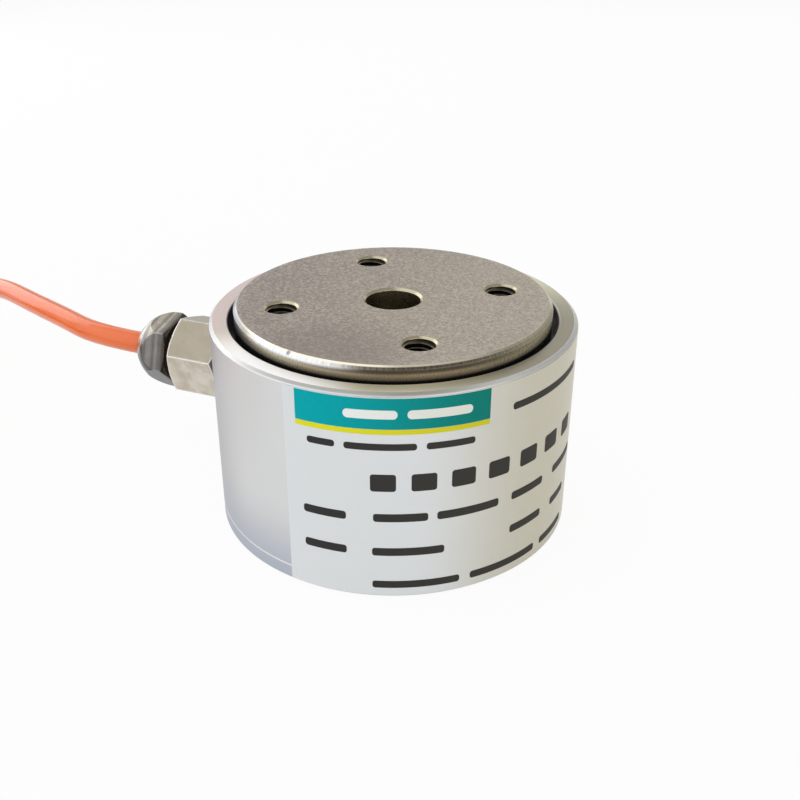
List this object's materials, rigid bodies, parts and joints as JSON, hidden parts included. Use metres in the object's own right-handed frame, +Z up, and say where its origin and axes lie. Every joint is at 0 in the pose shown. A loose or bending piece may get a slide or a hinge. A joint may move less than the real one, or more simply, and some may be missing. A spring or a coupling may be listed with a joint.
{
  "type": "capsule load cell",
  "caption": "Round capsule load cell: a raised loading platform with threaded holes and a centre bore, a side cable gland, and a coiled lead with bare cores.",
  "frame": {"origin": "the middle of the base's underside", "axes": "+Z up along the can's axis, through the loading platform; the gland and the lead leave along -X"},
  "size_m": [0.211, 0.0868, 0.0376],
  "materials": {
    "housing_steel": "turned stainless steel, satin",
    "platform_steel": "bead-blasted stainless steel",
    "measuring_steel": "milled steel",
    "fastener_steel": "plain steel",
    "gland_plating": "nickel-plated brass, bright",
    "claw_plastic": "moulded nylon",
    "black_rubber": "black rubber",
    "label_film": "printed film, satin",
    "board_laminate": "lacquered laminate",
    "gauge_film": "clear amber film",
    "resistor_body": "glazed",
    "gauge_wire_enamel": "enamelled",
    "lead_sheath": "smooth orange sheath",
    "shrink_sleeve": "shrunk sleeve",
    "tinned_copper": "tinned",
    "core_red": "insulation",
    "core_black": "insulation",
    "core_green": "insulation",
    "core_white": "insulation",
    "core_screen": "insulation"
  },
  "bodies": {
    "root": {"base_centre_screw": "fastener_steel", "base_plate": "housing_steel", "base_plate_screws": "fastener_steel", "base_seal_ring": "black_rubber", "board_screws": "fastener_steel", "diaphragm": "measuring_steel", "diaphragm_clamp_ring": "measuring_steel", "diaphragm_hub_washer": "measuring_steel", "dowel_pins": "fastener_steel", "end_core_1": "core_red", "end_core_2": "core_black", "end_core_3": "core_green", "end_core_4": "core_white", "end_core_5": "core_screen", "gauge_wire_1": "gauge_wire_enamel", "gauge_wire_2": "gauge_wire_enamel", "gauge_wire_3": "gauge_wire_enamel", "gauge_wire_4": "gauge_wire_enamel", "gland_body": "gland_plating", "gland_claw": "claw_plastic", "gland_nut": "gland_plating", "gland_seal_ring": "black_rubber", "gland_sleeve": "black_rubber", "housing": "housing_steel", "inner_core_1": "core_red", "inner_core_2": "core_black", "inner_core_3": "core_green", "inner_core_4": "core_white", "inner_core_5": "core_screen", "label": "label_film", "lead": "lead_sheath", "lead_coil": "lead_sheath", "lead_end_sleeve": "shrink_sleeve", "lead_inner_length": "lead_sheath", "lead_tail": "lead_sheath", "loading_platform": "platform_steel", "measuring_body": "measuring_steel", "overload_stop_screw": "fastener_steel", "platform_screw": "fastener_steel", "strain_gauge_1": "gauge_film", "strain_gauge_2": "gauge_film", "strain_gauge_3": "gauge_film", "strain_gauge_4": "gauge_film", "terminal_board": "board_laminate", "tinned_tips": "tinned_copper", "trim_resistor_1": "resistor_body", "trim_resistor_2": "resistor_body", "trim_resistor_3": "resistor_body"}
  },
  "joints": []
}
